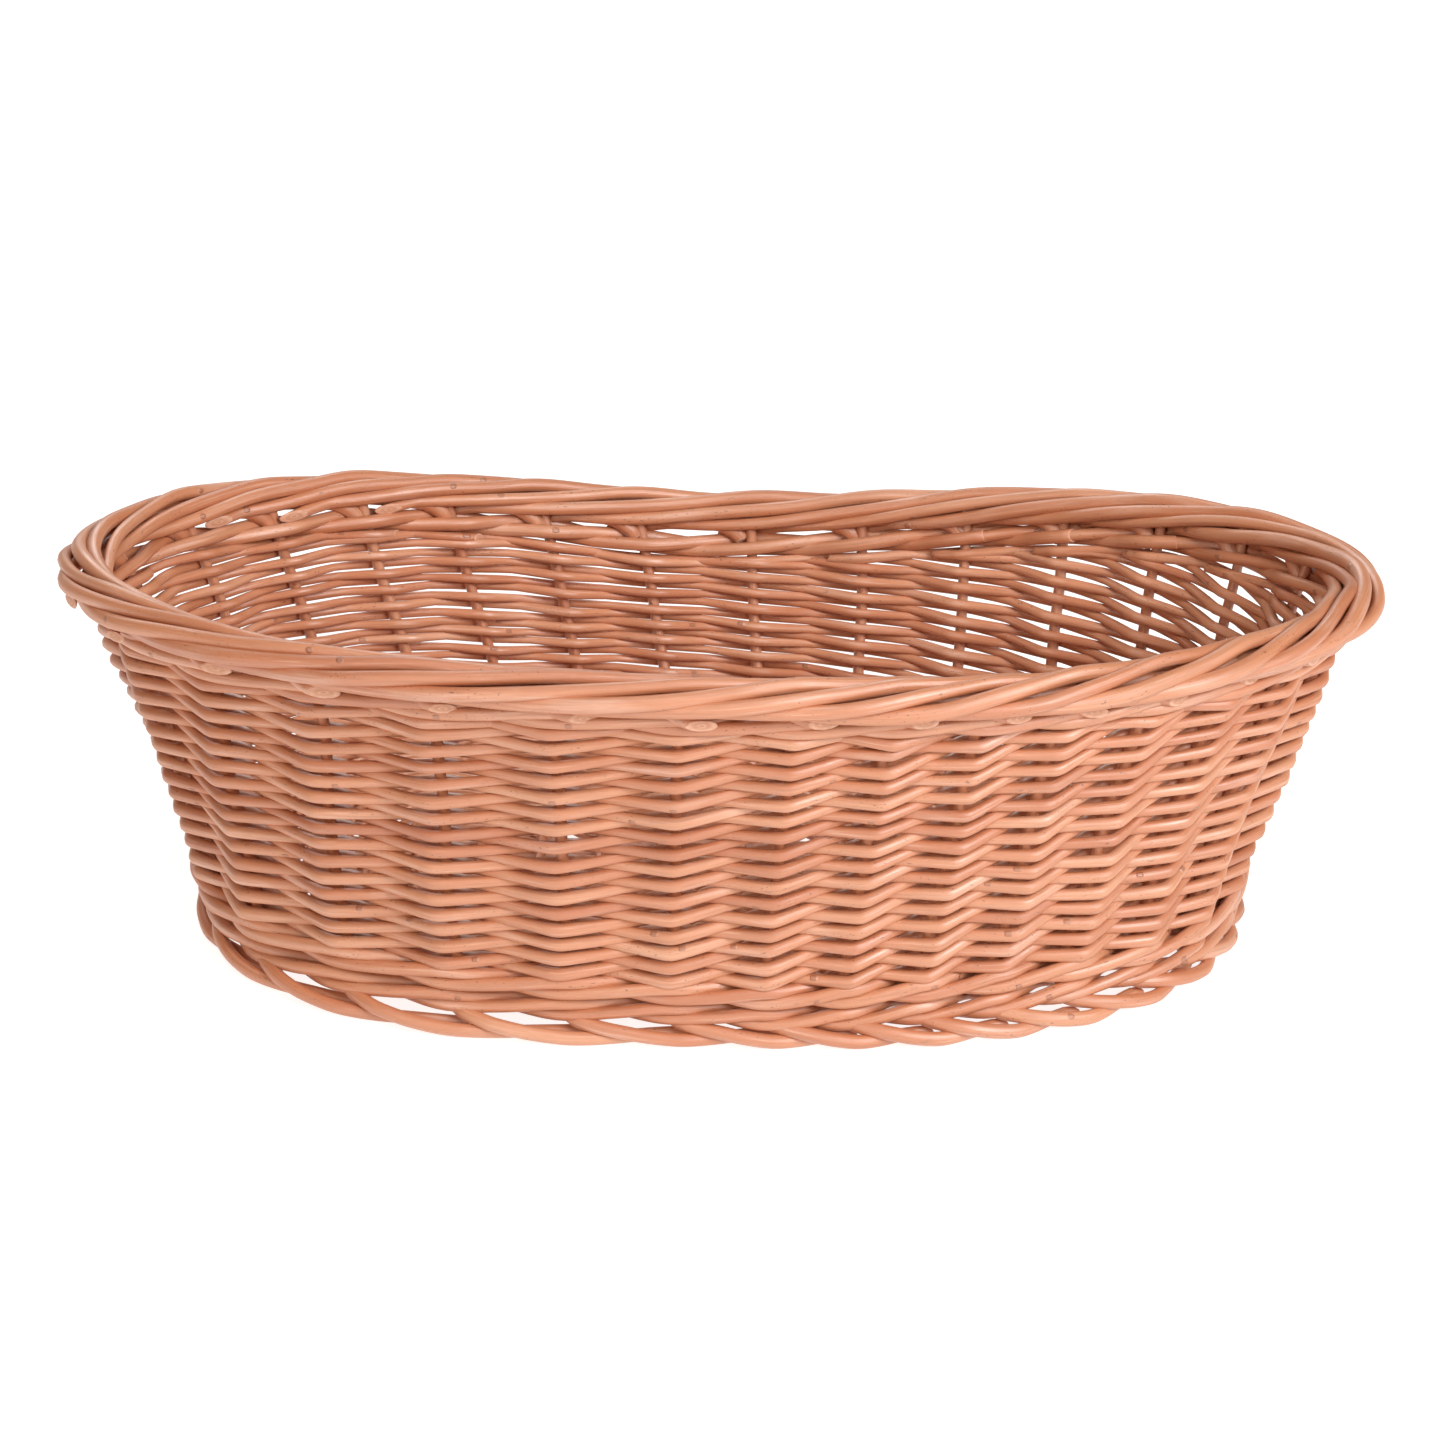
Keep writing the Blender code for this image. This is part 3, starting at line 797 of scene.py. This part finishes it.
# Rows of place, height and offset outward, for a foot rod from beside its stake to its end on the floor
FOOT_COURSE = (
    (-0.02, 0.0240, 0.0010), (-0.01, 0.0150, 0.0012), (0.0, 0.0118, 0.0018), (0.06, 0.0100, 0.0032),
    (0.22, 0.0090, 0.0056), (0.5, 0.0076, 0.0078), (0.8, 0.0056, 0.0088), (1.1, 0.0040, 0.0084),
    (1.4, 0.0034, 0.0060), (1.75, 0.0033, 0.0024), (2.1, 0.0033, 0.0002),
)
FOOT_CORNER_REACH = 0.0036


def make_foot():
    """Foot border: each rod comes down beside a stake, then lies along the floor over the next ones."""
    rng = np.random.default_rng(41)
    for number in range(STAKE_COUNT):
        place = gap_places(FOOT_COURSE[0][0], FOOT_COURSE[-1][0], 14)
        height, outward = through(FOOT_COURSE, place)
        angle = stake_angle(number + place) - STAKE_LEAN
        outward = outward + FOOT_CORNER_REACH * np.sin(2 * angle) ** 2 * np.clip(place * 2, 0, 1)
        x, y = foot_line(outward, angle)
        points = np.stack([x, y, height], axis=-1)
        length = (place - place[0]) / (place[-1] - place[0])
        radii = FOOT_RADIUS * (1.0 - 0.12 * length) * rng.uniform(0.95, 1.0)
        inward = -outward_at(float(number))
        rod(
            f"foot_rod_{number + 1:02d}", points, radii, rng, ["foot_border"],
            (None, (inward, math.radians(55))), sides=12,
        )


# Base

def end_of_stick(half_length, half_width, across):
    """Distance along a stick at which it reaches the edge of the base, at a distance across it."""
    return half_length * (1 - abs(across / half_width) ** FOOT_ROUNDNESS) ** (1 / FOOT_ROUNDNESS)


STICK_END_TO_STAKE = 0.0077
CROSS_STICK_FAN_START = 0.0215
SPLIT_OFFSET = 0.0012
SPLIT_LIFT = 0.0045
BASE_HALF_LENGTH = FOOT_HALF_LENGTH - FOOT_TO_STAKE - STICK_END_TO_STAKE
BASE_HALF_WIDTH = FOOT_HALF_WIDTH - FOOT_TO_STAKE - STICK_END_TO_STAKE


def long_stick_arm(index):
    """Half of a long stick, from where it starts to fan out to its end."""
    place = index - (LONG_STICK_COUNT - 1) / 2
    middle, outside = place * LONG_STICK_SPACING, place * LONG_STICK_FAN
    end = end_of_stick(BASE_HALF_LENGTH, BASE_HALF_WIDTH, outside)
    share = np.linspace(0, 1, 24)
    along = LONG_STICK_FAN_START + (end - LONG_STICK_FAN_START) * share
    return np.stack([along, middle + (outside - middle) * smooth(share)], axis=-1)


def cross_stick_arm(index):
    """Half of a cross stick, from beside the long sticks to its end."""
    place = (index - (CROSS_STICK_COUNT - 1) / 2) * CROSS_STICK_SPACING
    outermost = CROSS_STICK_SPACING * (CROSS_STICK_COUNT - 1) / 2
    outside = place + CROSS_STICK_FAN * (place / outermost) ** 3
    end = end_of_stick(BASE_HALF_WIDTH, BASE_HALF_LENGTH, outside)
    share = np.linspace(0, 1, 24)
    ease = share * share * (2 - share)
    across = CROSS_STICK_FAN_START + (end - CROSS_STICK_FAN_START) * share
    return np.stack([place + (outside - place) * ease, across], axis=-1)


def make_long_sticks():
    """Long sticks, side by side in the middle and fanned out at both ends."""
    rng = np.random.default_rng(53)
    for index in range(LONG_STICK_COUNT):
        arm = long_stick_arm(index)
        along = np.linspace(-LONG_STICK_FAN_START, LONG_STICK_FAN_START, 40)
        middle = np.stack([along, np.full(40, arm[0, 1])], axis=-1)
        flat = np.concatenate([arm[::-1] * (-1, 1), middle[1:-1], arm])
        points = np.column_stack([flat, np.full(len(flat), BASE_STICK_HEIGHT)])
        rod(
            f"long_stick_{index + 1}", points, STICK_RADIUS * 0.98, rng,
            [f"base_long_stick_{index + 1}"], sides=14,
        )


def make_cross_sticks():
    """Cross sticks, split in the middle: one half passes over the long sticks and the other under them."""
    rng = np.random.default_rng(59)
    for index in range(CROSS_STICK_COUNT):
        arm = cross_stick_arm(index)
        for half, side, paler in (("upper", 1, 0.0), ("lower", -1, 0.2)):
            reach = CROSS_STICK_FAN_START - 0.001
            middle = np.column_stack([np.full(16, arm[0, 0]), np.linspace(-reach, reach, 16)])
            flat = np.concatenate([arm[::-1] * (1, -1), middle, arm])
            inside = np.clip(1 - (np.abs(flat[:, 1]) / CROSS_STICK_FAN_START) ** 4, 0, 1)
            height = BASE_STICK_HEIGHT + side * (SPLIT_OFFSET + SPLIT_LIFT * inside)
            radii = STICK_RADIUS * (0.80 - 0.22 * inside)
            points = np.column_stack([flat, height])
            rod(
                f"cross_stick_{index + 1}_{half}", points, radii, rng,
                [f"base_cross_stick_{index + 1}"], sides=12, tint=rng.uniform() * 0.5 + paler,
            )


BASE_LAPS = 17
BASE_WEAVE_HALF_LENGTH = 0.1190
BASE_WEAVE_HALF_WIDTH = 0.0162
BASE_WEAVE_OVERHANG = 0.0032


def base_ribs():
    """Every rib that the base rods are woven round, as a path from the middle to the edge."""
    ribs = []
    for index in range(LONG_STICK_COUNT):
        arm = long_stick_arm(index)
        ribs += [arm, arm * (-1, 1)]
    for index in range(CROSS_STICK_COUNT):
        arm = cross_stick_arm(index)
        arm = np.concatenate([[[arm[0, 0], BASE_WEAVE_HALF_WIDTH - 0.006]], arm])
        ribs += [arm, arm * (1, -1)]
    return ribs


def base_oval(share):
    """Half length, half width and roundness of the base weave from its start to its edge."""
    wider = BASE_HALF_LENGTH + BASE_WEAVE_OVERHANG - BASE_WEAVE_HALF_LENGTH
    deeper = BASE_HALF_WIDTH + BASE_WEAVE_OVERHANG - BASE_WEAVE_HALF_WIDTH
    roundness = FOOT_ROUNDNESS + (SLATH_ROUNDNESS - FOOT_ROUNDNESS) * (1 - share) ** 1.5
    return BASE_WEAVE_HALF_LENGTH + wider * share, BASE_WEAVE_HALF_WIDTH + deeper * share, roundness


def crossing_angles(ribs, share):
    """Polar angles at which one woven ring crosses the ribs, in order round the base."""
    half_length, half_width, roundness = base_oval(share)
    angles = []
    for rib in ribs:
        inside = np.abs(rib[:, 0] / half_length) ** roundness + np.abs(rib[:, 1] / half_width) ** roundness
        x = np.interp(1.0, inside, rib[:, 0])
        y = np.interp(1.0, inside, rib[:, 1])
        angles.append(math.atan2(y, x))
    return np.sort(angles)


def make_base_weave():
    """Pairing: two rods twist round each other, one over and one under every stick."""
    rng = np.random.default_rng(61)
    ribs = base_ribs()
    gaps = len(ribs)
    for lap in range(BASE_LAPS):
        for strand in range(2):
            place = gap_places(-0.4, gaps + 0.4, 10)
            share = np.clip((lap + place / gaps) / BASE_LAPS, 0, 1)
            knots = crossing_angles(ribs, (lap + 0.5) / BASE_LAPS)
            ring = np.concatenate([knots - 2 * math.pi, knots, knots + 2 * math.pi])
            angle = np.interp(place + 3 * strand, np.arange(3 * gaps) - gaps, ring)
            twist = math.pi * (place + strand + 3 * strand)
            flat = np.stack(oval(*base_oval(share), angle), axis=-1)
            flat = flat + unit(flat) * (np.sin(twist) * BASE_WEAVER_RADIUS * 0.9)[:, None]
            height = BASE_STICK_HEIGHT + np.cos(twist) * (STICK_RADIUS * 0.92 + BASE_WEAVER_RADIUS)
            points = np.column_stack([flat, height])
            radii = BASE_WEAVER_RADIUS * np.linspace(1.12, 0.9, len(points)) * rng.uniform(0.95, 1.05)
            name = f"base_rod_{2 * lap + strand + 1:02d}"
            rod(name, points, radii, rng, ["base_weave"], sides=8)


# Setting

FLOOR_HALF_SIZE = 6.0
FLOOR_COLOUR = (0.4, 0.4, 0.4, 1)
FLOOR_GLOW = (1, 0.99, 0.98, 1)
FLOOR_GLOW_STRENGTH = 0.85
ROOM_COLOUR = (1, 0.84, 0.70, 1)
ROOM_STRENGTH = 0.16

# Name, place, target, size, power and colour of each soft light
LIGHTS = (
    ("key", (1.8, -1.7, 1.75), (0, 0, 0.08), (1.5, 1.3), 80, (1, 1, 1)),
    ("fill", (-1.1, -2.1, 1.1), (0, 0, 0.05), (1.4, 1.0), 17, (1, 0.88, 0.78)),
    ("top", (-0.3, -0.8, 2.5), (0, 0.05, 0.05), (1.2, 0.9), 16, (1, 0.95, 0.92)),
    ("back", (-0.6, 2.2, 1.6), (0, 0, 0.08), (1.6, 1.2), 24, (1, 1, 1)),
)


def make_stage():
    """A pale floor that glows a little, so that it stays near white."""
    mesh = bpy.data.meshes.new("floor")
    corners = [(x * FLOOR_HALF_SIZE, y * FLOOR_HALF_SIZE, 0) for x, y in ((-1, -1), (1, -1), (1, 1), (-1, 1))]
    mesh.from_pydata(corners, [], [(0, 1, 2, 3)])
    floor = bpy.data.objects.new("floor", mesh)
    bpy.context.scene.collection.objects.link(floor)
    material, _, shader = new_material("pale_floor")
    shader.inputs["Base Color"].default_value = FLOOR_COLOUR
    shader.inputs["Emission Color"].default_value = FLOOR_GLOW
    shader.inputs["Emission Strength"].default_value = FLOOR_GLOW_STRENGTH
    shader.inputs["Roughness"].default_value = 0.8
    shader.inputs["Specular IOR Level"].default_value = 0.1
    mesh.materials.append(material)


def add_light(name, place, target, size, power, colour):
    light = bpy.data.lights.new(name, "AREA")
    light.shape = "RECTANGLE"
    light.size, light.size_y = size
    light.energy = power
    light.color = colour
    item = bpy.data.objects.new(name, light)
    item.location = place
    item.rotation_euler = (Vector(target) - Vector(place)).to_track_quat("-Z", "Y").to_euler()
    bpy.context.scene.collection.objects.link(item)


def make_light():
    """The room's dim warm light and the soft lights."""
    world = bpy.data.worlds.new("studio")
    world.use_nodes = True
    background = world.node_tree.nodes["Background"]
    background.inputs["Color"].default_value = ROOM_COLOUR
    background.inputs["Strength"].default_value = ROOM_STRENGTH
    bpy.context.scene.world = world
    for settings in LIGHTS:
        add_light(*settings)


CAMERA_DISTANCE = 2.24
CAMERA_ELEVATION = 0.455
CAMERA_YAW = 0.0264
CAMERA_AIM = (0.00095, 0.0842)
CAMERA_LENS = 130.3


def make_camera():
    """The photo's camera, looking down at the basket from in front."""
    data = bpy.data.cameras.new("camera")
    data.lens = CAMERA_LENS
    data.sensor_width = 36.0
    data.clip_start = 0.05
    camera = bpy.data.objects.new("camera", data)
    aside, height = CAMERA_AIM
    back = -CAMERA_DISTANCE * math.cos(CAMERA_ELEVATION)
    turn_cos, turn_sin = math.cos(CAMERA_YAW), math.sin(CAMERA_YAW)
    camera.location = (
        aside * turn_cos - back * turn_sin,
        aside * turn_sin + back * turn_cos,
        height + CAMERA_DISTANCE * math.sin(CAMERA_ELEVATION),
    )
    camera.rotation_euler = (math.pi / 2 - CAMERA_ELEVATION, 0, CAMERA_YAW)
    bpy.context.scene.collection.objects.link(camera)
    bpy.context.scene.camera = camera


make_stakes()
make_siding()
make_wale(
    "upsett_rod", np.random.default_rng(29), 2, WALE_PITCH, WALE_RADIUS,
    lambda count: WALE_LIFT, "upsett_wale",
)
make_wale(
    "top_wale_rod", np.random.default_rng(31), 1, TOP_WALE_PITCH, TOP_WALE_RADIUS,
    siding_top, "top_wale",
)
make_border()
make_foot()
make_long_sticks()
make_cross_sticks()
make_base_weave()
make_stage()
make_light()
make_camera()
bpy.context.scene.view_settings.view_transform = "Standard"
